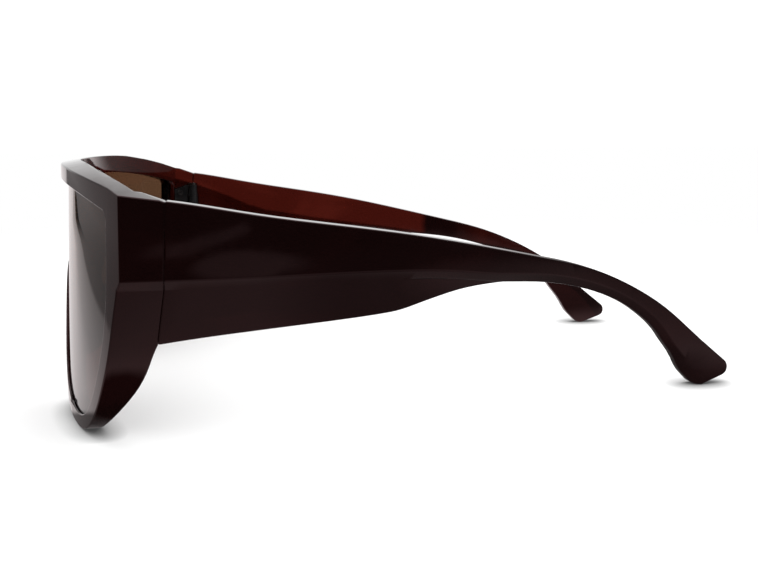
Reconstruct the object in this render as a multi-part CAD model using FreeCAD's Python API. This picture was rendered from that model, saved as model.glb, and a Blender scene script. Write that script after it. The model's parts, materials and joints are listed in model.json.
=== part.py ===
import FreeCAD, Part
import math
import os

# Shield sunglasses that stand on a table, front lobes and temple tips down.
# Millimetres and degrees. X runs across the face, with the wearer's left at +X. Y runs back
# from the front, with zero on the seam between front and temple at its top. Z is the height
# above the table. Every left piece is modelled, and the right one is its mirror image.

# Overall form
HALF_WIDTH = 72.0        # outer face of the end piece and of the temple beside it
TOP_Z = 51.6             # top edge at the seam
TOP_FALL_DEG = 8.0       # the top plane falls towards the rear
SEAM_LEAN_DEG = 3.5      # the seam leans back at the top

# Front
FRONT_MID_Z = 34.0       # height at which the front's depth is measured
WRAP_RADIUS = 135.0      # curve of the front round the face
FRONT_LEAN_DEG = 1.9     # the front leans back at the top
FRONT_THICKNESS = 4.6
BROW_ARCH = 4.1          # rise of the brow above the top plane
BROW_TILT_DEG = 10.0     # the brow's top face falls towards the front
BROW_RIM = 5.2           # from the brow's arch down to the lens
SIDE_RIM = 5.2           # width of the rim beside the lens, above the crease
LOBE_RIM = 3.2           # width of the rim round the lower lobes
NOSE_RIM = 3.8           # width of the rim over the nose
LOBE_X = 44.5            # lowest point of each lobe
LOBE_DRESS = 0.1         # taken off that point, which leaves a flat to stand on
BRIDGE_Z = 30.0          # top of the nose arch
WING_THICKNESS = 3.2     # side wall of the front, below the crease
WING_FOOT_X = 52.0       # the side wall ends here on the underside
APERTURE_CORNER = 0.8    # the lens opening's upper corners are cut off by this much

# The raised band that runs from the end piece into the temple, and the skirt below it
BAND_Z = 34.0            # lower edge of the band
BAND_STEP = 1.2          # the band stands this far proud of the skirt
BEVEL_RISE = 2.0         # the band's lower edge is bevelled this far up its face
BEVEL_DEPTH = 1.28       # and this far in
WALL = 4.4               # end piece wall, and temple thickness at the hinge

# Lens
LENS_THICKNESS = 1.8
LENS_RECESS = 1.2        # depth of the lens face behind the front face, at FRONT_MID_Z
LENS_LEAN_DEG = 3.2
LENS_SEAT = 1.0          # the lens edge reaches this far into its groove
LENS_PLAY = 0.08         # clearance round the lens in its groove

# Temple
TEMPLE_LENGTH = 137.0    # from the seam to the rearmost point of the tip
TIP_X = 41.0             # outer face at the tip
TIP_THICKNESS = 3.8
TIP_RADIUS = 2.4         # both corners of the tip
TIP_WIDTH = 4.96         # between the centres of those corners
TIP_END_DEG = 22.0       # rise of the tip's end
TIP_TOP_DEG = 40.5       # fall of the top edge at the tip
TIP_LOWER_DEG = 62.0     # steepness of the lower edge at the tip
SEAM_GAP = 0.08          # between the front and an open temple
SKIRT_FRONT_Z = 22.6     # lower front corner of the skirt
SKIRT_END_Y = 74.0       # where the skirt runs out into the arm
SKIRT_REACH = 2.9        # the skirt's lower front corner lies this far ahead of the seam
SKIRT_THICKNESS = 2.4
SKIRT_LEAN_DEG = 11.0    # the skirt slopes in towards its lower edge

# Hinge
HINGE_Z = 42.5           # middle of the hinge
KNUCKLE_COUNT = 3
KNUCKLE_HEIGHT = 3.3
KNUCKLE_RADIUS = 1.6
KNUCKLE_PLAY = 0.06      # between neighbouring knuckles
KNUCKLE_CLEARANCE = 0.2  # between a knuckle and the plastic or leaf beside it
LEAF_THICKNESS = 1.0
LEAF_LENGTH = 4.8        # flat part of a leaf
LEAF_SLOPE = 1.6         # fall of a front leaf's top edge towards its front end
LEAF_SINK = 0.5          # depth of a front leaf's pocket
LEAF_BURY = 1.2          # plastic over a temple leaf, which is moulded in
LEAF_POST_RADIUS = 0.8   # plastic that fills the two holes of a temple leaf
LEAF_PLAY = 0.05         # clearance of a leaf in the plastic
LEAF_ROOM = 0.86         # from the end of a front leaf to the rear of the front plate
PIVOT_RADIUS = 0.7       # hinge screw
PIVOT_PLAY = 0.03
PIVOT_HEAD_RADIUS = 1.25
PIVOT_HEAD_HEIGHT = 0.8
SLOT_WIDTH = 0.3
SLOT_DEPTH = 0.35
LEAF_SCREW_RADIUS = 0.55
LEAF_SCREW_LENGTH = 2.4  # in the plastic
LEAF_SCREW_HEAD_RADIUS = 0.95
LEAF_SCREW_HEAD_HEIGHT = 0.5
LEAF_PITCH = 5.0         # between the two screws or posts of a leaf
LEAF_SCREW_PLAY = 0.02

# Nose pads
PAD_LENGTH = 15.0
PAD_DEPTH = 7.8
PAD_SINK = 0.8           # the pad's round edge starts this far inside the rim
PAD_THICKNESS = 2.8
PAD_CORNER = 5.5
PAD_EDGE = 1.1
PAD_SPLAY_DEG = 24.0
PAD_Z = 15.0             # middle of a pad
PAD_GLUE = 0.03

OVERRUN = 20.0           # tools run this far past what they cut

# Shares that shape the outlines. The lobe's side runs from the crease (1, 1) to its lowest
# point (0, 0), and the nose side from that lowest point (1, 0) to the arch (0, 1).
SIDE_SHARES = [(0.914, 0.77), (0.82, 0.545), (0.69, 0.335), (0.53, 0.155), (0.32, 0.035)]
NOSE_SHARES = [(0.83, 0.018), (0.634, 0.105), (0.494, 0.225), (0.396, 0.375), (0.312, 0.53),
               (0.238, 0.70), (0.148, 0.895)]
# The brow: shares of the half width and of its rise, for its arch and for its front edge.
BROW_SHARES = [(1.0, 0.0), (0.9, 0.36), (0.8, 0.62), (0.69, 0.80), (0.55, 0.94), (0.4, 1.0), (0.2, 0.96),
               (0.0, 0.92)]
BROW_EDGE_SHARES = [(1.0, 0.06), (0.9, 0.22), (0.82, 0.33), (0.75, 0.405), (0.64, 0.48), (0.5, 0.54),
                    (0.35, 0.52), (0.0, 0.44)]
# Rear edge of the front's side wall below the skirt: shares of the way forward to the plate
# and of the skirt corner's height.
WING_SHARES = [(0.07, 0.90), (0.19, 0.70), (0.32, 0.54), (0.50, 0.375), (0.70, 0.215),
               (0.86, 0.095)]
# Arm outline: shares of the temple length, with shares of TOP_Z above and of BAND_Z below.
ARM_TOP_SHARES = [(0.125, 0.940), (0.28, 0.873), (0.40, 0.816), (0.505, 0.755), (0.60, 0.696),
                  (0.70, 0.626), (0.785, 0.532), (0.867, 0.400), (0.945, 0.225)]
ARM_LOWER_SHARES = [(0.20, 0.998), (0.36, 0.982), (0.44, 0.955), (0.52, 0.910), (0.60, 0.879),
                    (0.683, 0.812), (0.771, 0.676), (0.8146, 0.565), (0.858, 0.394), (0.890, 0.205)]
# Lower edge of the skirt: shares of its length, and of the rise from its corner to the arm.
SKIRT_SHARES = [(0.11, 0.13), (0.37, 0.305), (0.60, 0.43), (0.655, 0.49), (0.714, 0.634),
                (0.774, 0.78), (0.836, 0.905), (0.91, 0.98)]
# Bow of the temple: shares of its length, and of the way in to the tip.
BOW_SHARES = [(-0.14, 0.03), (0.0, 0.0), (0.07, 0.008), (0.20, 0.088), (0.36, 0.245), (0.50, 0.446),
              (0.60, 0.607), (0.70, 0.768), (0.78, 0.864), (0.87, 0.93), (0.95, 0.966), (1.05, 1.0)]

# Sizes that follow from those above
V = FreeCAD.Vector
INNER_X = HALF_WIDTH - WALL
SKIRT_X = HALF_WIDTH - BAND_STEP
SEAM_SLOPE = math.tan(math.radians(SEAM_LEAN_DEG))
TOP_SLOPE = math.tan(math.radians(TOP_FALL_DEG))
BROW_SLOPE = math.tan(math.radians(BROW_TILT_DEG))
AXIS_X = INNER_X - KNUCKLE_CLEARANCE - KNUCKLE_RADIUS
LEAF_NEAR = KNUCKLE_RADIUS + KNUCKLE_CLEARANCE
WRAP_DEPTH = WRAP_RADIUS - math.sqrt(WRAP_RADIUS ** 2 - INNER_X ** 2)
# From the seam to the foremost line of the front
FRONT_DEPTH = WRAP_DEPTH + FRONT_THICKNESS + LEAF_ROOM + LEAF_LENGTH + LEAF_NEAR
HINGE_HEIGHT = KNUCKLE_COUNT * KNUCKLE_HEIGHT
TALL = TOP_Z + OVERRUN
WIDE = HALF_WIDTH + OVERRUN
MIRROR = (V(0, 0, 0), V(1, 0, 0))


def seam_y(z):
    """Y of the seam's plane at a height."""
    return (z - TOP_Z) * SEAM_SLOPE


def line(a, b):
    return Part.LineSegment(a, b).toShape()


def spline(points, start=None, end=None):
    """A smooth curve through points, with a tangent at both ends if they are given."""
    curve = Part.BSplineCurve()
    if start is None:
        curve.interpolate(points)
    else:
        curve.interpolate(Points=points, InitialTangent=start, FinalTangent=end)
    return curve


def shifted(curve, widths, normal, count=24):
    """Points beside a curve, at a distance that runs through the widths along its length."""
    points = []
    for i in range(count + 1):
        share = i / count
        u = curve.FirstParameter + share * (curve.LastParameter - curve.FirstParameter)
        place = share * (len(widths) - 1)
        k = min(int(place), len(widths) - 2)
        width = widths[k] + (widths[k + 1] - widths[k]) * (place - k)
        side = curve.tangent(u)[0].cross(normal)
        points.append(curve.value(u) + side.normalize() * width)
    return points


def face(edges):
    return Part.Face(Part.Wire(Part.__sortEdges__(edges)))


def mirrored(points):
    return [V(-p.x, p.y, p.z) for p in reversed(points)]


def leaning_cylinder(radius, foremost_y, lean_deg):
    """A cylinder round the wearer's head whose foremost line passes FRONT_MID_Z at foremost_y."""
    lean = math.radians(lean_deg)
    up = V(0, math.sin(lean), math.cos(lean))
    base = V(0, foremost_y + radius / math.cos(lean), FRONT_MID_Z) - up * TALL
    return Part.makeCylinder(radius, 2 * TALL, base, up)


def lower_points():
    """The front's lower outline seen from ahead, from the left crease to the nose arch."""
    points = [V(SKIRT_X, 0, BAND_Z)]
    for across, up in SIDE_SHARES:
        points.append(V(LOBE_X + (SKIRT_X - LOBE_X) * across, 0, BAND_Z * up))
    points.append(V(LOBE_X, 0, -LOBE_DRESS))
    for across, up in NOSE_SHARES:
        points.append(V(LOBE_X * across, 0, BRIDGE_Z * up))
    return points


def lower_curve():
    half = lower_points()
    return spline(half + [V(0, 0, BRIDGE_Z)] + mirrored(half))


def outline_prism():
    """The front's outer outline with its raised band, run through along Y."""
    foot = BEVEL_RISE * (1 - BAND_STEP / BEVEL_DEPTH)
    edges = [lower_curve().toShape()]
    ends = []
    for sign in (1, -1):
        crease = V(sign * SKIRT_X, 0, BAND_Z)
        meet = V(sign * SKIRT_X, 0, BAND_Z + foot)
        top = V(sign * HALF_WIDTH, 0, BAND_Z + BEVEL_RISE)
        peak = V(sign * HALF_WIDTH, 0, TALL)
        edges += [line(crease, meet), line(meet, top), line(top, peak)]
        ends.append(peak)
    edges.append(line(*ends))
    return along_y(face(edges))


def along_y(outline):
    """Runs an outline in the XZ plane through the whole front."""
    start = -FRONT_DEPTH - OVERRUN
    outline.translate(V(0, start, 0))
    return outline.extrude(V(0, -start + OVERRUN, 0))


def below(half, slope):
    """Everything below a line across the front, given by its left half, that is run back at a slope."""
    brow = half + mirrored(half[:-1])
    left, right = V(WIDE, 0, half[0].z), V(-WIDE, 0, half[0].z)
    feet = V(WIDE, 0, -OVERRUN), V(-WIDE, 0, -OVERRUN)
    outline = face([line(left, brow[0]), spline(brow).toShape(), line(brow[-1], right), line(right, feet[1]),
                    line(feet[1], feet[0]), line(feet[0], left)])
    run = FRONT_DEPTH + OVERRUN
    outline.translate(V(0, -run, -run * slope))
    return outline.extrude(V(0, run + OVERRUN, (run + OVERRUN) * slope))


def top_prism():
    """Everything below the brow's arch, which falls towards the rear."""
    half = [V(HALF_WIDTH * across, 0, TOP_Z + BROW_ARCH * up) for across, up in BROW_SHARES]
    return below(half, -TOP_SLOPE)


def brow_prism():
    """Everything below the brow's top face, which falls towards its front edge."""
    half = []
    for across, up in BROW_EDGE_SHARES:
        x = HALF_WIDTH * across
        ahead = FRONT_DEPTH - WRAP_RADIUS + math.sqrt(WRAP_RADIUS ** 2 - x ** 2)
        half.append(V(x, 0, TOP_Z + BROW_ARCH * up + ahead * (TOP_SLOPE + BROW_SLOPE)))
    return below(half, BROW_SLOPE)


def wing_prism():
    """Everything above the table and ahead of the front's rear edge, which follows the temple."""
    crease = V(0, seam_y(BAND_Z), BAND_Z)
    corner = V(0, -SKIRT_REACH, SKIRT_FRONT_Z)
    foot_y = -FRONT_DEPTH + FRONT_THICKNESS + LOBE_X ** 2 / (2 * WRAP_RADIUS)
    points = [corner]
    for forward, up in WING_SHARES:
        points.append(V(0, corner.y + (foot_y - corner.y) * forward, SKIRT_FRONT_Z * up))
    points.append(V(0, foot_y, 0))
    top = V(0, seam_y(TALL), TALL)
    ahead = -FRONT_DEPTH - OVERRUN
    edges = [line(top, crease), line(crease, corner), spline(points).toShape(),
             line(V(0, foot_y, 0), V(0, ahead, 0)), line(V(0, ahead, 0), V(0, ahead, TALL)),
             line(V(0, ahead, TALL), top)]
    outline = face(edges)
    outline.translate(V(-WIDE, 0, 0))
    return outline.extrude(V(2 * WIDE, 0, 0))


def cavity():
    """The space behind the front plate and between its side walls."""
    curve = lower_curve()
    wall = [p for p in shifted(curve, [WING_THICKNESS] * 2, V(0, -1, 0), 30) if p.x > WING_FOOT_X]
    wall[0] = V(INNER_X, 0, BAND_Z)
    foot = V(wall[-1].x, 0, -OVERRUN)
    half = [V(INNER_X, 0, TALL), V(INNER_X, 0, BAND_Z), foot]
    other = [V(-p.x, 0, p.z) for p in half]
    edges = [line(half[0], half[1]), spline(wall).toShape(), line(wall[-1], foot), line(foot, other[2]),
             line(other[2], V(-wall[-1].x, 0, wall[-1].z)), spline(mirrored(wall)).toShape(),
             line(other[1], other[0]), line(other[0], half[0])]
    behind = leaning_cylinder(WRAP_RADIUS - FRONT_THICKNESS, -FRONT_DEPTH + FRONT_THICKNESS, FRONT_LEAN_DEG)
    return along_y(face(edges)).common(behind)


def opening_prism(grow):
    """The lens opening seen from ahead, grown by a margin, run through along Y."""
    rims = [LOBE_RIM, LOBE_RIM, LOBE_RIM, NOSE_RIM, NOSE_RIM, NOSE_RIM, LOBE_RIM, LOBE_RIM, LOBE_RIM]
    side = HALF_WIDTH - SIDE_RIM + grow
    left, right = V(side, 0, TALL), V(-side, 0, TALL)
    start = [left, V(side, 0, (TOP_Z + BAND_Z) / 2)]
    points = start + shifted(lower_curve(), [rim - grow for rim in rims], V(0, -1, 0), 30)[2:-2]
    points += mirrored(start)
    lower = spline(points).toShape()
    prism = along_y(face([lower, line(right, left)]))
    ceiling = top_prism()
    ceiling.translate(V(0, 0, -BROW_RIM + grow))
    prism = prism.common(ceiling)
    corners = [e for e in prism.Edges if e.BoundBox.ZMin > BAND_Z and e.BoundBox.YLength > FRONT_DEPTH]
    return prism.makeChamfer(APERTURE_CORNER + grow, corners)


def lens_shell(grow, play):
    """The curved sheet of the lens, cut to the opening grown by a margin."""
    face_y = -FRONT_DEPTH + LENS_RECESS
    outer = leaning_cylinder(WRAP_RADIUS - LENS_RECESS + play, face_y - play, LENS_LEAN_DEG)
    inner = leaning_cylinder(WRAP_RADIUS - LENS_RECESS - LENS_THICKNESS - play,
                             face_y + LENS_THICKNESS + play, LENS_LEAN_DEG)
    ahead = Part.makeBox(2 * WIDE, FRONT_DEPTH + OVERRUN, 2 * TALL, V(-WIDE, -FRONT_DEPTH - OVERRUN, -TALL))
    return opening_prism(grow).common(outer).cut(inner).common(ahead)


def hinge_placed(shape):
    """Moves a hinge piece from its own axes to the left hinge."""
    placed = shape.copy()
    placed.translate(V(AXIS_X, seam_y(HINGE_Z), HINGE_Z))
    return placed


# Hinge pieces have their own axes: z on the pivot, x outwards, y back, zero at mid-height.
LEAF_OUT = LEAF_NEAR + LEAF_SINK
LEAF_IN = LEAF_OUT - LEAF_THICKNESS
LEAF_FAR = LEAF_NEAR + LEAF_LENGTH
BURIED_IN = LEAF_NEAR + LEAF_BURY
TAB_NEAR = KNUCKLE_RADIUS - LEAF_THICKNESS


def front_flat(play):
    """The flat of a front leaf, whose top edge falls towards its front end."""
    top = HINGE_HEIGHT / 2 + play
    near, far = -LEAF_NEAR + play, -LEAF_FAR - play
    corners = [V(LEAF_IN, near, -top), V(LEAF_IN, far, -top), V(LEAF_IN, far, top - LEAF_SLOPE),
               V(LEAF_IN, near, top)]
    outline = Part.Face(Part.makePolygon(corners + corners[:1]))
    return outline.extrude(V(LEAF_THICKNESS + play, 0, 0))


def temple_flat(play):
    """The flat of a temple leaf, inside the temple's wall."""
    return Part.makeBox(LEAF_THICKNESS + 2 * play, LEAF_FAR - TAB_NEAR + 2 * play, HINGE_HEIGHT + 2 * play,
                        V(BURIED_IN - play, TAB_NEAR - play, -HINGE_HEIGHT / 2 - play))


def leaf_places(x, sign):
    """Where the two screws or posts of a leaf start, ahead of the pivot for sign -1, else behind."""
    middle = sign * (LEAF_NEAR + LEAF_LENGTH / 2)
    return [V(x, middle, half * LEAF_PITCH / 2) for half in (-1, 1)]


def rods(places, radius, length):
    """Round rods that run outwards from places."""
    return [Part.makeCylinder(radius, length, place, V(1, 0, 0)) for place in places]


def knuckle(index, tab, play):
    """One barrel of the hinge, counted from below, with the tab that joins it to its leaf."""
    low = -HINGE_HEIGHT / 2 + index * KNUCKLE_HEIGHT + KNUCKLE_PLAY / 2 - play
    height = KNUCKLE_HEIGHT - KNUCKLE_PLAY + 2 * play
    barrel = Part.makeCylinder(KNUCKLE_RADIUS, height, V(0, 0, low))
    (x0, x1), (y0, y1) = tab
    return barrel.fuse(Part.makeBox(x1 - x0, y1 - y0 + 2 * play, height, V(x0, y0 - play, low)))


def front_knuckles():
    """The outer barrels, whose tabs run forward along the leaf."""
    tab = (TAB_NEAR, KNUCKLE_RADIUS), (-LEAF_NEAR - LEAF_THICKNESS, 0)
    return [knuckle(index, tab, 0) for index in range(0, KNUCKLE_COUNT, 2)]


def temple_knuckles(play):
    """The inner barrels, whose tabs run outwards into the temple."""
    tab = (0, BURIED_IN + LEAF_THICKNESS), (TAB_NEAR, KNUCKLE_RADIUS)
    return [knuckle(index, tab, play) for index in range(1, KNUCKLE_COUNT, 2)]


def bored(leaf):
    """A leaf with its knuckles bored for the pivot screw, moved to the left hinge."""
    bore = Part.makeCylinder(PIVOT_RADIUS + PIVOT_PLAY, HINGE_HEIGHT + 2 * OVERRUN,
                             V(0, 0, -HINGE_HEIGHT / 2 - OVERRUN))
    return hinge_placed(leaf.cut(bore).removeSplitter())


def front_leaf():
    """A leaf screwed into the end piece."""
    holes = rods(leaf_places(LEAF_IN - LEAF_PLAY, -1), LEAF_SCREW_RADIUS + LEAF_PLAY,
                 LEAF_THICKNESS + 2 * LEAF_PLAY)
    return bored(front_flat(0).fuse(front_knuckles()).cut(holes))


def temple_leaf():
    """A leaf moulded into the temple."""
    holes = rods(leaf_places(BURIED_IN - LEAF_PLAY, 1), LEAF_POST_RADIUS + LEAF_PLAY,
                 LEAF_THICKNESS + 2 * LEAF_PLAY)
    return bored(temple_flat(0).fuse(temple_knuckles(0)).cut(holes))


def leaf_screws():
    """The two small screws that hold a front leaf."""
    screws = []
    for place in leaf_places(LEAF_IN, -1):
        shank = Part.makeCylinder(LEAF_SCREW_RADIUS, LEAF_THICKNESS + LEAF_SCREW_LENGTH, place, V(1, 0, 0))
        head = Part.makeCylinder(LEAF_SCREW_HEAD_RADIUS, LEAF_SCREW_HEAD_HEIGHT,
                                 place - V(LEAF_SCREW_HEAD_HEIGHT, 0, 0), V(1, 0, 0))
        slot = Part.makeBox(SLOT_DEPTH, 2 * LEAF_SCREW_HEAD_RADIUS, SLOT_WIDTH,
                            place - V(LEAF_SCREW_HEAD_HEIGHT, LEAF_SCREW_HEAD_RADIUS, SLOT_WIDTH / 2))
        screws.append(shank.fuse(head).cut(slot).removeSplitter())
    return hinge_placed(Part.makeCompound(screws))


def front_seat():
    """What a front leaf and its screws take out of the end piece."""
    holes = rods(leaf_places(LEAF_IN, -1), LEAF_SCREW_RADIUS + LEAF_SCREW_PLAY,
                 LEAF_THICKNESS + LEAF_SCREW_LENGTH + LEAF_SCREW_PLAY)
    return hinge_placed(front_flat(LEAF_PLAY).fuse(holes))


def temple_seat():
    """What a temple leaf takes out of the temple: a slot and notches, all open to the seam."""
    tools = [temple_flat(LEAF_PLAY)] + temple_knuckles(LEAF_PLAY)
    tools += [tool.translated(V(0, -LEAF_NEAR, 0)) for tool in tools]
    posts = rods(leaf_places(BURIED_IN - LEAF_PLAY, 1), LEAF_POST_RADIUS, LEAF_THICKNESS + 2 * LEAF_PLAY)
    return hinge_placed(tools[0].fuse(tools[1:]).cut(posts))


def hinge_screw():
    """The slotted pivot screw, its head on the top knuckle."""
    top = HINGE_HEIGHT / 2
    shank = Part.makeCylinder(PIVOT_RADIUS, HINGE_HEIGHT, V(0, 0, -top))
    head = Part.makeCylinder(PIVOT_HEAD_RADIUS, PIVOT_HEAD_HEIGHT, V(0, 0, top))
    slot = Part.makeBox(2 * PIVOT_HEAD_RADIUS, SLOT_WIDTH, SLOT_DEPTH,
                        V(-PIVOT_HEAD_RADIUS, -SLOT_WIDTH / 2, top + PIVOT_HEAD_HEIGHT - SLOT_DEPTH))
    return hinge_placed(shank.fuse(head).cut(slot).removeSplitter())


def front_frame():
    """The moulded front: a wrapped plate with side walls, a lens groove and two hinge pockets."""
    shell = leaning_cylinder(WRAP_RADIUS, -FRONT_DEPTH, FRONT_LEAN_DEG)
    body = outline_prism().common(top_prism()).common(brow_prism()).common(wing_prism()).common(shell)
    body = body.cut(opening_prism(0)).cut(cavity()).cut(lens_shell(LENS_SEAT + LENS_PLAY, LENS_PLAY))
    seat = front_seat()
    body = body.cut(seat).cut(seat.mirror(*MIRROR))
    return body.removeSplitter()


def tip_points():
    """Where the tip's two corner circles meet the lines beside them, from the top edge round."""
    lower = V(0, TEMPLE_LENGTH - TIP_RADIUS - TIP_WIDTH * math.cos(math.radians(TIP_END_DEG)), TIP_RADIUS)
    rear = lower + V(0, math.cos(math.radians(TIP_END_DEG)), math.sin(math.radians(TIP_END_DEG))) * TIP_WIDTH

    def on(centre, deg):
        return centre + V(0, math.cos(math.radians(deg)), math.sin(math.radians(deg))) * TIP_RADIUS

    end_deg = TIP_END_DEG - 90
    return [on(rear, 90 - TIP_TOP_DEG), on(rear, 0), on(rear, end_deg),
            on(lower, end_deg), on(lower, -90), on(lower, -180 + 90 - TIP_LOWER_DEG)]


def direction(deg):
    """A unit vector that falls towards the rear at an angle."""
    return V(0, math.cos(math.radians(deg)), -math.sin(math.radians(deg)))


def side_prism(edges):
    """Runs a side view outline across the left half, set back by the seam's gap."""
    outline = face(edges)
    outline.translate(V(0, SEAM_GAP, 0))
    return outline.extrude(V(WIDE, 0, 0))


def arm_above():
    """Everything above the arm's lower edge and behind the seam."""
    start = V(0, seam_y(BAND_Z), BAND_Z)
    end = tip_points()[5]
    points = [start] + [V(0, TEMPLE_LENGTH * y, BAND_Z * z) for y, z in ARM_LOWER_SHARES] + [end]
    steep = direction(TIP_LOWER_DEG)
    foot = end + steep * OVERRUN
    rear, high = V(0, TEMPLE_LENGTH + OVERRUN, foot.z), V(0, TEMPLE_LENGTH + OVERRUN, TALL)
    front = V(0, seam_y(TALL), TALL)
    return side_prism([spline(points, V(0, 1, 0), steep).toShape(), line(end, foot), line(foot, rear),
                       line(rear, high), line(high, front), line(front, start)])


def arm_below():
    """Everything below the arm's top edge and ahead of the end of the tip."""
    start = V(0, 0, TOP_Z)
    tip = tip_points()
    points = [start] + [V(0, TEMPLE_LENGTH * y, TOP_Z * z) for y, z in ARM_TOP_SHARES] + [tip[0]]
    low, high = V(0, -OVERRUN, tip[5].z), V(0, -OVERRUN, TOP_Z)
    top = spline(points, direction(TOP_FALL_DEG), direction(TIP_TOP_DEG)).toShape()
    rear, lower = Part.Arc(*tip[0:3]).toShape(), Part.Arc(*tip[3:6]).toShape()
    return side_prism([top, rear, line(tip[2], tip[3]), lower, line(tip[5], low), line(low, high),
                       line(high, start)])


def bow_curve():
    """The temple's outer face seen from above, from ahead of the seam to past the tip."""
    points = []
    for y, inward in BOW_SHARES:
        points.append(V(HALF_WIDTH - (HALF_WIDTH - TIP_X) * inward, TEMPLE_LENGTH * y, 0))
    return spline(points)


def band_wire(outer_by, inner_by, z):
    """A strip beside the bow curve, between two distances in from it, as a closed wire."""
    curve = bow_curve()
    outer = shifted(curve, outer_by, V(0, 0, -1), 14)
    inner = shifted(curve, inner_by, V(0, 0, -1), 14)
    edges = [spline(outer).toShape(), line(outer[-1], inner[-1]), spline(inner).toShape(),
             line(inner[0], outer[0])]
    wire = Part.Wire(Part.__sortEdges__(edges))
    wire.translate(V(0, 0, z))
    return wire


def temple_arm():
    """The thick upper part of the temple with its ear piece, bevelled along its lower outer edge."""
    wire = band_wire([0, 0], [WALL, WALL, TIP_THICKNESS], -OVERRUN)
    arm = Part.Face(wire).extrude(V(0, 0, TALL + OVERRUN)).common(arm_above())
    crease = V(HALF_WIDTH, seam_y(BAND_Z), BAND_Z)
    lower = [e for e in arm.Edges if e.BoundBox.YLength > TEMPLE_LENGTH / 2
             and min(v.Point.distanceToPoint(crease) for v in e.Vertexes) < BAND_STEP]
    return arm.makeChamfer(BEVEL_RISE, BEVEL_DEPTH, lower).common(arm_below())


def temple_skirt():
    """The thin panel below the arm, sloping in towards its lower edge."""
    slope = math.tan(math.radians(SKIRT_LEAN_DEG))
    high, low = BAND_Z + BEVEL_RISE, SKIRT_FRONT_Z - BEVEL_RISE
    wires = []
    for z in (high, low):
        inward = BAND_STEP + (BAND_Z - z) * slope
        wires.append(band_wire([inward] * 2, [inward + SKIRT_THICKNESS] * 2, z))
    panel = Part.makeLoft(wires, True, True)
    corner = V(0, -SKIRT_REACH, SKIRT_FRONT_Z)
    crease = V(0, seam_y(BAND_Z), BAND_Z)
    end = V(0, SKIRT_END_Y, arm_lower_z(SKIRT_END_Y))
    lift = V(0, 0, BAND_STEP)
    upper = [V(0, seam_y(BAND_Z + BAND_STEP), BAND_Z + BAND_STEP)]
    upper += [V(0, TEMPLE_LENGTH * y, BAND_Z * z) + lift for y, z in ARM_LOWER_SHARES
              if TEMPLE_LENGTH * y < SKIRT_END_Y]
    upper.append(end + lift)
    lower = [corner]
    for along, up in SKIRT_SHARES:
        lower.append(V(0, corner.y + (end.y - corner.y) * along, corner.z + (end.z - corner.z) * up))
    lower.append(end)
    edges = [spline(lower).toShape(), line(end, upper[-1]), line(upper[0], crease), line(crease, corner)]
    edges += [line(a, b) for a, b in zip(upper, upper[1:])]
    return panel.common(side_prism(edges))


def arm_lower_z(y):
    """Height of the arm's lower edge at a distance from the seam."""
    shares = [(0.0, 1.0)] + ARM_LOWER_SHARES
    for (y0, z0), (y1, z1) in zip(shares, shares[1:]):
        if y <= TEMPLE_LENGTH * y1:
            part = (y / TEMPLE_LENGTH - y0) / (y1 - y0)
            return BAND_Z * (z0 + (z1 - z0) * part)


def temple():
    """The left temple: arm and skirt moulded in one, with the pocket of its hinge leaf."""
    body = temple_arm().fuse(temple_skirt())
    return body.cut(temple_seat()).removeSplitter()


def nose_pad():
    """A blade with round corners and bevelled edges, bonded to the rear of the rim beside the nose."""
    below, above = lower_points()[-4], lower_points()[-2]
    along = (above - below).normalize()
    middle = below + along * ((PAD_Z - below.z) / along.z)
    splay = math.radians(PAD_SPLAY_DEG)
    inward = V(along.z, 0, -along.x)
    depth = V(0, math.cos(splay), 0) + inward * math.sin(splay)
    thick = along.cross(depth)
    seat_y = -FRONT_DEPTH + FRONT_THICKNESS - PAD_SINK
    base = V(middle.x, seat_y, middle.z) + inward * (NOSE_RIM / 2)
    corners = []
    for sign in (-1, 1):
        side = base + along * (sign * PAD_LENGTH / 2)
        centre = side - along * (sign * PAD_CORNER) + depth * (PAD_DEPTH - PAD_CORNER)
        slant = (along * sign + depth) * math.sqrt(0.5)
        corners.append([side - depth * FRONT_THICKNESS, centre + along * (sign * PAD_CORNER),
                        centre + slant * PAD_CORNER, centre + depth * PAD_CORNER])
    (a0, a1, a2, a3), (b0, b1, b2, b3) = corners
    edges = [line(a0, a1), Part.Arc(a1, a2, a3).toShape(), line(a3, b3), Part.Arc(b3, b2, b1).toShape(),
             line(b1, b0), line(b0, a0)]
    blade = face(edges)
    blade.translate(thick * (-PAD_THICKNESS / 2))
    pad = blade.extrude(thick * PAD_THICKNESS)
    rim = [e for e in pad.Edges if abs((e.Vertexes[0].Point - e.Vertexes[1].Point).dot(thick)) < PAD_GLUE
           and any((v.Point - base).dot(depth) > 0 for v in e.Vertexes)]
    pad = pad.makeChamfer(PAD_EDGE, rim)
    behind = leaning_cylinder(WRAP_RADIUS - FRONT_THICKNESS - PAD_GLUE,
                              -FRONT_DEPTH + FRONT_THICKNESS + PAD_GLUE, FRONT_LEAN_DEG)
    return pad.common(behind)


def pieces():
    """Every piece by name, still in the modelling axes."""
    left = {
        "temple": temple(),
        "front_hinge": front_leaf(),
        "temple_hinge": temple_leaf(),
        "hinge_screw": hinge_screw(),
        "leaf_screws": leaf_screws(),
        "nose_pad": nose_pad(),
    }
    made = {"front_frame": front_frame(), "shield_lens": lens_shell(LENS_SEAT, 0)}
    for name, shape in left.items():
        made[name + "_left"] = shape
        made[name + "_right"] = shape.mirror(*MIRROR)
    return made


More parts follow.
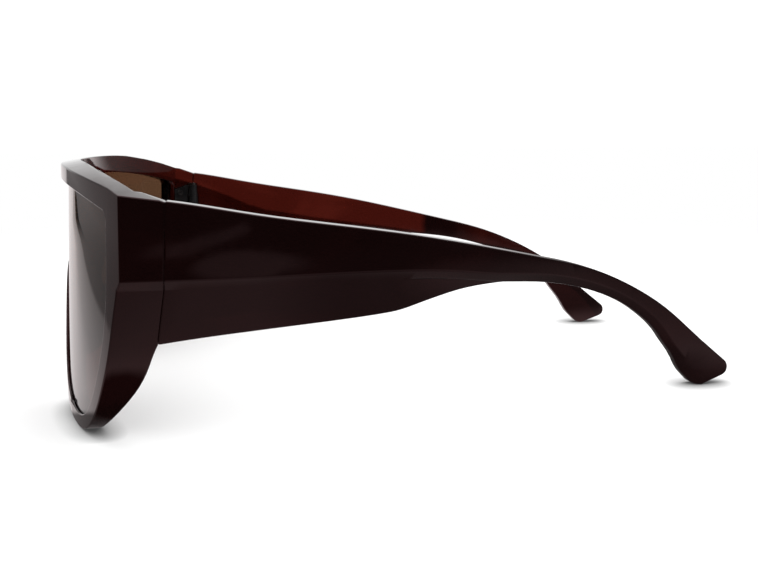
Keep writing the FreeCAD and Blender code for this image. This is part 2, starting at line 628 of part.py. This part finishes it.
def main():
    made = pieces()
    whole = Part.makeCompound(list(made.values())).optimalBoundingBox(False)
    centre = V(0, -(whole.YMin + whole.YMax) / 2, -whole.ZMin)
    os.makedirs("parts", exist_ok=True)
    for name, shape in sorted(made.items()):
        shape.translate(centre)
        shape.exportStep("parts/" + name + ".step")
        print(name, len(shape.Solids), "solid(s)", round(shape.Volume, 2), "mm3", shape.isValid())
    axis = V(AXIS_X, seam_y(HINGE_Z), HINGE_Z) + centre
    print("hinge axis passes", [round(x, 4) for x in axis])
    print("moved by", centre, "box", whole)


main()
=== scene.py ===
import bpy
import bmesh
import json
import math
import numpy as np
from mathutils import Matrix, Vector

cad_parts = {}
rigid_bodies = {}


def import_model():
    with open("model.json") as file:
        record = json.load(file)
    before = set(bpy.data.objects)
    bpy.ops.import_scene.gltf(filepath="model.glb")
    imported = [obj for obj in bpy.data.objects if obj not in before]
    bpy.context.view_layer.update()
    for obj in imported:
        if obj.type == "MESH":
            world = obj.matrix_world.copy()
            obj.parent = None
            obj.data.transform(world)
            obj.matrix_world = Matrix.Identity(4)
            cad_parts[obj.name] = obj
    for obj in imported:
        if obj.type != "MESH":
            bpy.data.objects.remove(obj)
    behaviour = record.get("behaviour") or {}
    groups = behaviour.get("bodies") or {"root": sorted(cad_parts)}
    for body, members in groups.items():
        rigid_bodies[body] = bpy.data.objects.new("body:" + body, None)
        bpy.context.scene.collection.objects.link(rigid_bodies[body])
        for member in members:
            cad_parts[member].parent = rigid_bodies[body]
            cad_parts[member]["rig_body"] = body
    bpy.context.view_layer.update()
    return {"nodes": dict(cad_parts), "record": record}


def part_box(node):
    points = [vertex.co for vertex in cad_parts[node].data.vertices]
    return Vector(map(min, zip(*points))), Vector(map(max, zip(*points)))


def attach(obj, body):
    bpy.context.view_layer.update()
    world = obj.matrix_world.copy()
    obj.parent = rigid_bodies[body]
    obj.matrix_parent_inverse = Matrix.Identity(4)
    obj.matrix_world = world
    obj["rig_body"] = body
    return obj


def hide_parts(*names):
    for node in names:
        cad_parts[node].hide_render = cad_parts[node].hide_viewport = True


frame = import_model()
nodes = frame["nodes"]


# Front frame: one moulding of laminated acetate, nearly black outside with a red-brown lining
# towards the face. It wraps round the face, and is tumbled and polished until its edges soften.
FRONT_EDGE = 0.0003
ARC_STEPS = 3
ARC_PROFILE = 0.5
FOLD = math.radians(32.0)
JOIN_DISTANCE = 0.00004
CUT_DISTANCE = 1e-7
END_FALL = math.radians(20.5)
SEAM_Y = frame["record"]["behaviour"]["joints"][0]["pos_m"][1]
HEAD_CENTRE = np.array([0.0, -0.01])
LINING_FROM, LINING_TO = 0.25, 0.55

OUTSIDE = {"Ground": (0.0013, 0.0004, 0.0004, 1.0), "Streak": (0.0023, 0.0006, 0.0006, 1.0),
           "Streaks per Metre": 45.0, "Smooth": 0.035, "Handled": 0.07}
LINING = {"Ground": (0.014, 0.0016, 0.0010, 1.0), "Streak": (0.019, 0.0023, 0.0014, 1.0),
          "Streaks per Metre": 60.0, "Smooth": 0.05, "Handled": 0.09}
STREAK_STRETCH = (1.0, 0.35, 1.0)
POLISH_WAVES = {"Strength": 0.25, "Distance": 0.0004}
ACETATE_SHEEN = {"IOR": 1.49, "Specular Tint": (1.0, 0.62, 0.64, 1.0)}

# How much of the lining's red shows along the temple, by the place on Y. Its ends are ragged.
RED_REACH = 0.09
RED_SHARE = ((0.02367, 1.0), (0.02547, 0.03), (0.0342, 0.03), (0.0432, 0.35), (0.0558, 0.3), (0.0675, 0.08))
RAGGED_LENGTH = 0.002
RAGGED_PER_METRE = 120.0


def dress_ends(bm):
    """Files the end pieces down to a plane that falls at END_FALL to the temples' top edge, so that
    the two run on from each other at the seam, and closes the cut."""
    temple_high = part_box("temple_left")[1]
    point = Vector((0, SEAM_Y, temple_high[2]))
    normal = Vector((0, math.sin(END_FALL), math.cos(END_FALL)))
    bmesh.ops.bisect_plane(bm, geom=bm.verts[:] + bm.edges[:] + bm.faces[:], dist=CUT_DISTANCE,
                           plane_co=point, plane_no=normal, clear_outer=True)
    bmesh.ops.holes_fill(bm, edges=[e for e in bm.edges if e.is_boundary], sides=0)


def polished_copy(name, width, dress=None):
    """A CAD node's mesh with its loose triangles joined, dressed where it needs it, and every edge
    that folds outwards by more than FOLD turned into an arc of the given width. Other folds stay
    sharp."""
    mesh = bpy.data.meshes.new(name + "_polished")
    bm = bmesh.new()
    bm.from_mesh(nodes[name].data)
    bmesh.ops.remove_doubles(bm, verts=bm.verts, dist=JOIN_DISTANCE)
    bmesh.ops.dissolve_degenerate(bm, edges=bm.edges, dist=JOIN_DISTANCE)
    if dress:
        dress(bm)
    bm.normal_update()
    outward = [e for e in bm.edges if e.calc_face_angle_signed(0.0) > FOLD]
    bmesh.ops.bevel(bm, geom=outward, offset=width, offset_type="OFFSET", segments=ARC_STEPS,
                    profile=ARC_PROFILE, affect="EDGES", clamp_overlap=False, loop_slide=True)
    bm.normal_update()
    for face in bm.faces:
        face.smooth = True
    for edge in bm.edges:
        edge.smooth = edge.calc_face_angle(0.0) < FOLD
    bm.to_mesh(mesh)
    bm.free()
    piece = bpy.data.objects.new(name + "_polished", mesh)
    bpy.context.scene.collection.objects.link(piece)
    even = piece.modifiers.new("even_shading", "WEIGHTED_NORMAL")
    even.keep_sharp = True
    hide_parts(name)
    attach(piece, nodes[name]["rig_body"])
    return piece


def mark_lining(piece):
    """Face attribute lining: 1 where a face looks towards the middle of the head in plan, 0 where
    it looks away, from the cosine between its normal and that direction."""
    mesh = piece.data
    count = len(mesh.polygons)
    normal, middle = np.empty(count * 3), np.empty(count * 3)
    mesh.polygons.foreach_get("normal", normal)
    mesh.polygons.foreach_get("center", middle)
    inward = HEAD_CENTRE - middle.reshape(-1, 3)[:, :2]
    inward /= np.linalg.norm(inward, axis=1, keepdims=True)
    cosine = (normal.reshape(-1, 3)[:, :2] * inward).sum(axis=1)
    share = np.clip((cosine - LINING_FROM) / (LINING_TO - LINING_FROM), 0.0, 1.0)
    mesh.attributes.new("lining", "FLOAT", "FACE").data.foreach_set("value", share.astype(np.float32))


def feed(tree, made, inputs):
    """Fills the inputs of a shader node: an output of another node is linked, a plain value is set."""
    for key, value in inputs.items():
        if isinstance(value, bpy.types.NodeSocket):
            tree.links.new(value, made.inputs[key])
        else:
            made.inputs[key].default_value = value


def node(tree, kind, inputs=None, **settings):
    """A new shader node of a kind, with its settings and its inputs."""
    made = tree.nodes.new("ShaderNode" + kind)
    for key, value in settings.items():
        setattr(made, key, value)
    feed(tree, made, inputs or {})
    return made


def reckon(tree, operation, *values):
    """The result of an operation on values, each a number or an output."""
    return node(tree, "Math", dict(enumerate(values)), operation=operation).outputs[0]


def ease(tree, value, start, end, low=0.0, high=1.0, curve="SMOOTHSTEP"):
    """Low where the value is at start, high where it is at end, even beyond both, and eased between
    or, with the curve LINEAR, straight."""
    inputs = {"Value": value, "From Min": start, "From Max": end, "To Min": low, "To Max": high}
    return node(tree, "MapRange", inputs, interpolation_type=curve).outputs["Result"]


def grey_along(tree, value, start, end, stops):
    """A grey that goes straight from stop to stop, each a place between start and end with its grey,
    and is even beyond the outer two."""
    ramp = node(tree, "ValToRGB", {"Fac": ease(tree, value, start, end, curve="LINEAR")})
    elements = ramp.color_ramp.elements
    places = [(place - start) / (end - start) for place, _ in stops]
    elements[0].position = places[0]
    elements[1].position = places[-1]
    for place in places[1:-1]:
        elements.new(place)
    for element, (_, grey) in zip(elements, stops):
        element.color = (grey, grey, grey, 1.0)
    return ramp.outputs["Color"]


def blend_colours(tree, share, first, second):
    """The first colour where the share is 0, and the second where it is 1. A Mix node takes its
    colours at inputs 6 and 7."""
    return node(tree, "Mix", {0: share, 6: first, 7: second}, data_type="RGBA").outputs[2]


def new_group(name, inputs, outputs):
    """A new node group with the named sockets, together with what it is given and the node that it
    ends in."""
    tree = bpy.data.node_groups.new(name, "ShaderNodeTree")
    for in_out, sockets in (("INPUT", inputs), ("OUTPUT", outputs)):
        for socket, kind in sockets.items():
            tree.interface.new_socket(socket, in_out=in_out, socket_type="NodeSocket" + kind)
    return tree, tree.nodes.new("NodeGroupInput").outputs, tree.nodes.new("NodeGroupOutput")


def streaked_group():
    """A finish with streaks or grain: a colour that wanders between two, a roughness with faint
    handling marks, and a height for the slow waves that polishing leaves."""
    tree, given, made = new_group(
        "streaked_finish",
        {"Ground": "Color", "Streak": "Color", "Streaks per Metre": "Float", "Smooth": "Float",
         "Handled": "Float"},
        {"Color": "Color", "Roughness": "Float", "Height": "Float"})
    place = node(tree, "TexCoord").outputs["Object"]
    stretched = node(tree, "Mapping", {"Vector": place, "Scale": STREAK_STRETCH}).outputs["Vector"]
    cloud = node(tree, "TexNoise", {"Vector": stretched, "Scale": given["Streaks per Metre"], "Detail": 3.0,
                                    "Distortion": 1.2})
    streaks = ease(tree, cloud.outputs["Fac"], start=0.42, end=0.66)
    marks = node(tree, "TexNoise", {"Vector": place, "Scale": 420.0, "Detail": 4.0})
    rough = ease(tree, marks.outputs["Fac"], start=0.35, end=0.75, low=given["Smooth"], high=given["Handled"],
                 curve="LINEAR")
    wave = node(tree, "TexNoise", {"Vector": place, "Scale": 38.0, "Detail": 1.0})
    feed(tree, made, {"Color": blend_colours(tree, streaks, given["Ground"], given["Streak"]),
                      "Roughness": rough, "Height": wave.outputs["Fac"]})
    return tree


def new_material(name):
    """A new material, together with its node tree and its shader."""
    material = bpy.data.materials.new(name)
    material.use_nodes = True
    return material, material.node_tree, material.node_tree.nodes["Principled BSDF"]


streaked_finish = streaked_group()
acetate, tree, shader = new_material("laminated_acetate")
outside = node(tree, "Group", OUTSIDE, node_tree=streaked_finish).outputs
lining = node(tree, "Group", LINING, node_tree=streaked_finish).outputs
place = node(tree, "TexCoord").outputs["Object"]
ragged = node(tree, "TexNoise", {"Vector": place, "Scale": RAGGED_PER_METRE}).outputs["Fac"]
straight = node(tree, "SeparateXYZ", {"Vector": place}).outputs["Y"]
along = reckon(tree, "MULTIPLY_ADD", ragged, RAGGED_LENGTH, straight)
red = grey_along(tree, along, 0.0, RED_REACH, RED_SHARE)
inner_side = node(tree, "Attribute", attribute_name="lining").outputs["Fac"]
laminate = blend_colours(tree, reckon(tree, "MULTIPLY", inner_side, red), outside["Color"], lining["Color"])
waves = node(tree, "Bump", {"Height": outside["Height"], **POLISH_WAVES}).outputs["Normal"]
feed(tree, shader, {"Base Color": laminate, "Roughness": outside["Roughness"], "Normal": waves,
                    **ACETATE_SHEEN})

front = polished_copy("front_frame", FRONT_EDGE, dress_ends)
mark_lining(front)
front.data.materials.append(acetate)

# Shield lens: one sheet of tinted polycarbonate bent to the front's curve and snapped into its
# groove. The tint is brown, and it deepens towards the foot.
LENS_FOOT, LENS_TOP = (0.032, 0.012, 0.010, 1.0), (0.105, 0.054, 0.028, 1.0)
FADE_FOOT, FADE_TOP = 0.022, 0.046
LENS_GLOSS = {"Roughness": 0.015, "IOR": 1.5, "Specular Tint": (1.0, 0.88, 0.88, 1.0),
              "Transmission Weight": 1.0}


def dress_node(name, material):
    """Gives a CAD node its finish in place of the frame's plain one."""
    nodes[name].data.materials.clear()
    nodes[name].data.materials.append(material)


tint, tree, shader = new_material("brown_lens")
place = node(tree, "TexCoord").outputs["Object"]
height = node(tree, "SeparateXYZ", {"Vector": place}).outputs["Z"]
fade = ease(tree, height, FADE_FOOT, FADE_TOP, curve="LINEAR")
feed(tree, shader, {"Base Color": blend_colours(tree, fade, LENS_FOOT, LENS_TOP), **LENS_GLOSS})
dress_node("shield_lens", tint)

# Nose pads: two small blades of the same acetate, one for each side of the nose. They are
# chamfered, polished and glued on behind the rim.
PAD_EDGE = 0.00025
for name in ("nose_pad_left", "nose_pad_right"):
    pad = polished_copy(name, PAD_EDGE)
    mark_lining(pad)
    pad.data.materials.append(acetate)

# Temples: each is one moulding of the same laminate, bowed in towards the ear, with a skirt
# below the raised band and an ear piece that turns down to the tip.
TEMPLE_EDGE = 0.0003
SEAM_REACH = 0.004
SEAM_CLOSE = 0.00007
SEAM_FACING, SEAM_LEAN = 0.9, 0.03

# The tip's lower edge at rising heights: where it lies on Y in the solid, and how far it shifts.
TIP_HEIGHT = (0.0, 0.0010, 0.0022, 0.0034, 0.0045, 0.0056, 0.0070, 0.0089, 0.0102, 0.0125)
TIP_LOWER_Y = (0.0762, 0.0749, 0.0740, 0.0727, 0.0715, 0.0702, 0.0686, 0.0671, 0.0663, 0.0649)
TIP_SHIFT = (-0.0009, -0.0013, -0.0017, -0.0017, -0.0012, -0.0005, 0.0003, 0.0006, 0.0004, 0.0)
TIP_ACROSS = 0.010


def close_seam(bm):
    """Brings a temple's seam face forward by SEAM_CLOSE, which leaves a hairline. The face leans back
    at its top, and that tells it from the upright faces of the hinge slot behind it."""
    bm.normal_update()
    seam = [f for f in bm.faces if f.normal.y < -SEAM_FACING and f.normal.z > SEAM_LEAN
            and abs(f.calc_center_median().y - SEAM_Y) < SEAM_REACH]
    for vert in {v for f in seam for v in f.verts}:
        vert.co.y -= SEAM_CLOSE


def straighten_tip(bm):
    """Straightens the lower edge of the tip, which waves in the solid. At each height the edge shifts
    along Y, and what lies behind it follows less the further off it is."""
    y, z = np.array([vert.co for vert in bm.verts])[:, 1:].T
    behind = y - np.interp(z, TIP_HEIGHT, TIP_LOWER_Y)
    share = np.clip(1.0 - behind / TIP_ACROSS, 0.0, 1.0)
    on_tip = (y > TIP_LOWER_Y[-1] - TEMPLE_EDGE) & (z < TIP_HEIGHT[-1])
    for vert, shift in zip(bm.verts, on_tip * share * np.interp(z, TIP_HEIGHT, TIP_SHIFT)):
        vert.co.y += shift


def dress_temple(bm):
    """What a temple needs before its edges are rounded."""
    close_seam(bm)
    straighten_tip(bm)


for name in ("temple_left", "temple_right"):
    temple = polished_copy(name, TEMPLE_EDGE, dress_temple)
    mark_lining(temple)
    temple.data.materials.append(acetate)

# Barrel hinges: two stamped leaves to a hinge, curled into three knuckles and coated black. The
# front leaf is screwed to the front, and the temple leaf is moulded into the temple.
LEAF_COAT = {"Ground": (0.0035, 0.0035, 0.004, 1.0), "Streak": (0.007, 0.007, 0.0075, 1.0),
             "Streaks per Metre": 900.0, "Smooth": 0.28, "Handled": 0.42}
coated, tree, shader = new_material("black_coated_leaf")
grain = node(tree, "Group", LEAF_COAT, node_tree=streaked_finish).outputs
feed(tree, shader, {"Base Color": grain["Color"], "Roughness": grain["Roughness"]})
for name in ("front_hinge_left", "front_hinge_right", "temple_hinge_left", "temple_hinge_right"):
    dress_node(name, coated)

# Screws: a slotted pivot screw down through the knuckles of each hinge, and two small screws to
# each front leaf. They are turned from steel and darkened.
TURNED_STEEL = {"Ground": (0.10, 0.10, 0.10, 1.0), "Streak": (0.17, 0.165, 0.16, 1.0),
                "Streaks per Metre": 1500.0, "Smooth": 0.22, "Handled": 0.4}
steel, tree, shader = new_material("dark_screw_steel")
turned = node(tree, "Group", TURNED_STEEL, node_tree=streaked_finish).outputs
feed(tree, shader, {"Base Color": turned["Color"], "Roughness": turned["Roughness"], "Metallic": 1.0})
for name in ("hinge_screw_left", "hinge_screw_right", "leaf_screws_left", "leaf_screws_right"):
    dress_node(name, steel)

# Table: a sheet of white paper that the sunglasses stand on. It reads as white to the camera but
# keeps their shadow, and a painted contact shade from ambient occlusion darkens its colour near
# them. Its edge, painted shade spots near the sunglasses, a strip and a pool of light are painted
# into what the polish mirrors, and show only there.
FLOOR_HALF, FLOOR_Z = 4.0, -0.00003
PAPER_WHITE = 0.88
# Painted contact shade: how far the ambient occlusion reaches, and the power that deepens it.
CONTACT_SHADE_REACH, CONTACT_SHADE_DEPTH = 0.005, 1.2
CLEAN_FROM, CLEAN_TO, CLEAN_LEAST = 0.12, 0.45, 0.05
MIRRORED_WHITE = (1.0, 0.94, 0.94, 1.0)

# In what the polish mirrors, the sheet is painted dimmer towards the camera, by the place on X.
SIDE_REACH = 0.5
SIDE_LIGHT = ((0.02, 1.0), (0.055, 0.75), (0.08, 0.42), (0.11, 0.31), (0.18, 0.2), (0.24, 0.04), (0.37, 0.02))

# The sheet's edge runs at a slant past the front and bends inwards on the far side, by the place
# on X. A stretch of the gap along it is dark there.
SHEET_EDGE, SHEET_SLANT, SHEET_BEND = -0.1706, 0.458, 0.045
BEND_FROM, BEND_TO = -0.3, -0.6
DARK_FROM, DARK_TO = -1.25, -0.95
OFF_SHEET, ON_SHEET = -0.26, 0.14
SHEET_GAP, DARK_GAP = 0.24, 0.03

# Each painted shade spot darkens the paper's mirrored light near the sunglasses. It has its place, the radii
# that it fades between, and its light in the middle.
LOBE_X, LOBE_Y = frame["record"]["mounts"][0]["pos_m"][:2]
PAINTED_SHADE_SPOTS = (((LOBE_X + 0.0195, LOBE_Y + 0.0087, 0), 0.007, 0.014, 0.02),
             ((LOBE_X + 0.0025, LOBE_Y - 0.0023, 0), 0.008, 0.014, 0.25),
             ((0.02, 0.07, 0), 0.025, 0.07, 0.15),
             ((0.08, 0.015, 0), 0.02, 0.05, 0.5))

# Behind the sunglasses the paper goes over into the studio at this distance and place on Y.
STUDIO_FROM, STUDIO_TO = 0.32, 0.45
REAR_FROM, REAR_TO = -0.02, 0.05

# The strip and the pool fade out between two half widths or radii.
STRIP_X, STRIP_SLANT, STRIP_LIGHT = 0.478, 0.75, 0.16
STRIP_WIDE, STRIP_LONG = (0.02, 0.045), (0.07, 0.1)
POOL_CENTRE, POOL_RADII, POOL_LIGHT = (0.335, 0.02, 0), (0.05, 0.085), 0.2

# The studio's light by the angle from the far side in plan, in degrees.
ROUND_LIGHT = ((-144, 0.015), (-90, 0.3), (-62, 0.42), (-48, 0.3), (-38, 0.32), (-22, 1.0), (14, 1.0),
               (26, 0.18), (100, 0.12), (151.2, 0.015))


def round_group():
    """How bright the studio is towards each side, by the angle from the far side in plan: a white
    backdrop straight across, dimmer towards the front, dim behind, dark beyond the camera."""
    tree, given, made = new_group("studio_round", {"Toward": "Vector"}, {"Light": "Float"})
    toward = node(tree, "SeparateXYZ", {"Vector": given["Toward"]}).outputs
    turn = reckon(tree, "ARCTAN2", toward["Y"], reckon(tree, "MULTIPLY", toward["X"], -1.0))
    stops = [(math.radians(angle), grey) for angle, grey in ROUND_LIGHT]
    feed(tree, made, {"Light": grey_along(tree, turn, -math.pi, math.pi, stops)})
    return tree


def measure(tree, operation, *vectors):
    """The number that an operation on vectors gives, each a fixed place or an output."""
    return node(tree, "VectorMath", dict(enumerate(vectors)), operation=operation).outputs["Value"]


def blend_values(tree, share, first, second):
    """The first value where the share is 0, and the second where it is 1. A Mix node takes its
    values at inputs 2 and 3."""
    return node(tree, "Mix", {0: share, 2: first, 3: second}, data_type="FLOAT").outputs[0]


def sheet_light(tree, inwards, gap):
    """The sheet's light by the distance inwards from its edge: white well inside, greyer towards the
    edge, then a gap with its own grey, and the bare table beyond."""
    stops = ((OFF_SHEET, 0.34), (-0.052, 0.24), (-0.044, gap), (-0.006, gap), (0.003, 0.5), (0.024, 0.6),
             (0.044, 0.7), (0.066, 1.0), (ON_SHEET, 1.0))
    return grey_along(tree, inwards, OFF_SHEET, ON_SHEET, stops)


def mirrored_light(tree, place):
    """What the polish sees of the table at a place: the sheet up to its edge, less the painted shade spots,
    then the studio behind the sunglasses, and the strip and the pool of painted light on top."""
    x, y, _ = node(tree, "SeparateXYZ", {"Vector": place}).outputs
    far_side = ease(tree, x, BEND_FROM, BEND_TO)
    across = measure(tree, "DOT_PRODUCT", place, (-SHEET_SLANT, 1.0, 0.0))
    bent = reckon(tree, "MULTIPLY_ADD", far_side, -SHEET_BEND, across)
    inwards = reckon(tree, "SUBTRACT", bent, SHEET_EDGE)
    dark_share = reckon(tree, "MULTIPLY", far_side, ease(tree, x, DARK_FROM, DARK_TO))
    sheet = blend_values(tree, dark_share, sheet_light(tree, inwards, SHEET_GAP),
                         sheet_light(tree, inwards, DARK_GAP))
    light = reckon(tree, "MULTIPLY", grey_along(tree, x, -SIDE_REACH, SIDE_REACH, SIDE_LIGHT), sheet)
    # Painted shade: each spot darkens what the polish mirrors of the paper, beside the front's feet and near
    # the temples.
    for centre, inner, outer, least in PAINTED_SHADE_SPOTS:
        shade_spot = ease(tree, measure(tree, "DISTANCE", place, centre), inner, outer, low=least)
        light = reckon(tree, "MULTIPLY", light, shade_spot)
    studio = node(tree, "Group", {"Toward": place}, node_tree=studio_round).outputs["Light"]
    past_sheet = ease(tree, measure(tree, "LENGTH", place), STUDIO_FROM, STUDIO_TO)
    rear = reckon(tree, "MULTIPLY", past_sheet, ease(tree, y, REAR_FROM, REAR_TO))
    light = blend_values(tree, rear, light, studio)
    aside = reckon(tree, "SUBTRACT", measure(tree, "DOT_PRODUCT", place, (1.0, -STRIP_SLANT, 0.0)), STRIP_X)
    strip = ease(tree, reckon(tree, "ABSOLUTE", aside), *STRIP_WIDE, low=STRIP_LIGHT, high=0.0)
    strip_end = ease(tree, reckon(tree, "ABSOLUTE", y), *STRIP_LONG, low=1.0, high=0.0)
    light = reckon(tree, "MULTIPLY_ADD", strip, strip_end, light)
    pool = ease(tree, measure(tree, "DISTANCE", place, POOL_CENTRE), *POOL_RADII, low=POOL_LIGHT, high=0.0)
    return reckon(tree, "ADD", light, pool)


studio_round = round_group()
floor_mesh = bpy.data.meshes.new("paper_table")
corner = np.array([(-1, -1), (1, -1), (1, 1), (-1, 1)]) * FLOOR_HALF
floor_mesh.from_pydata(np.column_stack([corner, np.full(4, FLOOR_Z)]).tolist(), [], [(0, 1, 2, 3)])
floor = bpy.data.objects.new("paper_table", floor_mesh)
bpy.context.scene.collection.objects.link(floor)

paper = bpy.data.materials.new("white_paper")
paper.use_nodes = True
tree = paper.node_tree
tree.nodes.clear()
place = node(tree, "TexCoord").outputs["Object"]
rays = node(tree, "LightPath").outputs
# Painted contact shade: ambient occlusion darkens the paper's colour where the sunglasses stand close.
contact_shade = node(tree, "AmbientOcclusion", {"Distance": CONTACT_SHADE_REACH}).outputs["AO"]
shaded = reckon(tree, "MULTIPLY", reckon(tree, "POWER", contact_shade, CONTACT_SHADE_DEPTH), PAPER_WHITE)
matt = node(tree, "BsdfDiffuse", {"Color": shaded}).outputs[0]
white = node(tree, "Emission").outputs[0]
clean = ease(tree, measure(tree, "LENGTH", place), CLEAN_FROM, CLEAN_TO, low=CLEAN_LEAST)
to_camera = reckon(tree, "MULTIPLY", rays["Is Camera Ray"], clean)
plain = node(tree, "MixShader", {0: to_camera, 1: matt, 2: white}).outputs[0]
light = mirrored_light(tree, place)
mirrored = node(tree, "Emission", {"Color": MIRRORED_WHITE, "Strength": light}).outputs[0]
whole = node(tree, "MixShader", {0: rays["Is Glossy Ray"], 1: plain, 2: mirrored}).outputs[0]
node(tree, "OutputMaterial", {"Surface": whole})
floor_mesh.materials.append(paper)

# Studio: even white light all round, and for the polish a white backdrop beyond the far side and
# a dark room behind the camera. A wide softbox hangs overhead, and a low key light from the
# camera's side falls on the sunglasses alone.
AMBIENT = 1.45
ROOF_FROM, ROOF_TO = 0.35, 0.7
SOFTBOX_SIZE, SOFTBOX_POWER = 0.9, 2.0
SOFTBOX_PLACE = Vector((-0.25, -0.1, 0.9))
KEY_TURN, KEY_RISE = math.radians(-10.5), math.radians(5.5)
KEY_STRENGTH, KEY_SPREAD = 7.5, math.radians(0.4)


def hang(light, place, toward):
    """Hangs a lamp at a place and turns it to shine along a direction."""
    lamp = bpy.data.objects.new(light.name, light)
    lamp.location = place
    lamp.rotation_euler = toward.to_track_quat("-Z", "Y").to_euler()
    bpy.context.scene.collection.objects.link(lamp)
    return lamp


world = bpy.data.worlds.new("studio")
bpy.context.scene.world = world
world.use_nodes = True
tree = world.node_tree
toward = node(tree, "TexCoord").outputs["Generated"]
room = node(tree, "Group", {"Toward": toward}, node_tree=studio_round).outputs["Light"]
height = node(tree, "SeparateXYZ", {"Vector": toward}).outputs["Z"]
shown = reckon(tree, "MAXIMUM", room, ease(tree, height, ROOF_FROM, ROOF_TO))
glossy = node(tree, "LightPath").outputs["Is Glossy Ray"]
strength = blend_values(tree, glossy, AMBIENT, shown)
feed(tree, tree.nodes["Background"], {"Color": (1.0, 1.0, 1.0, 1.0), "Strength": strength})

softbox = bpy.data.lights.new("overhead_softbox", "AREA")
softbox.shape = "RECTANGLE"
softbox.size = SOFTBOX_SIZE
softbox.size_y = SOFTBOX_SIZE
softbox.energy = SOFTBOX_POWER
hang(softbox, SOFTBOX_PLACE, -SOFTBOX_PLACE)

key = bpy.data.lights.new("low_key", "SUN")
key.energy = KEY_STRENGTH
key.angle = KEY_SPREAD
key_lamp = hang(key, (0, 0, 0), Vector((-math.cos(KEY_TURN), -math.sin(KEY_TURN), -math.tan(KEY_RISE))))
key_lamp.visible_glossy = False
lit = bpy.data.collections.new("lit_by_key")
for piece in bpy.context.scene.objects:
    if piece.type == "MESH" and piece != floor:
        lit.objects.link(piece)
key_lamp.light_linking.receiver_collection = lit

# Camera: at the wearer's left, a little above the brow, with its axis near the temple. It is
# turned by yaw, pitch and roll, and its focal length is in pixels of the picture's width.
CAMERA_PLACE = (0.2489, -0.04061, 0.0637)
YAW, PITCH, ROLL = math.radians(9.21), math.radians(9.32), math.radians(-0.45)
FOCAL_PIXELS, IMAGE_WIDTH = 898.2, 758
SENSOR_WIDTH = 36.0
NEAR_CLIP = 0.01
camera_data = bpy.data.cameras.new("camera")
camera = bpy.data.objects.new("camera", camera_data)
bpy.context.scene.collection.objects.link(camera)
ahead = Vector((-math.cos(YAW) * math.cos(PITCH), math.sin(YAW) * math.cos(PITCH), -math.sin(PITCH)))
level = ahead.cross(Vector((0, 0, 1))).normalized()
upright = level.cross(ahead)
right = math.cos(ROLL) * level + math.sin(ROLL) * upright
up = math.cos(ROLL) * upright - math.sin(ROLL) * level
camera.matrix_world = Matrix.Translation(CAMERA_PLACE) @ Matrix((right, up, -ahead)).transposed().to_4x4()
camera_data.sensor_fit = "HORIZONTAL"
camera_data.sensor_width = SENSOR_WIDTH
camera_data.lens = FOCAL_PIXELS / IMAGE_WIDTH * SENSOR_WIDTH
camera_data.clip_start = NEAR_CLIP
bpy.context.scene.camera = camera
bpy.context.scene.view_settings.view_transform = "Standard"
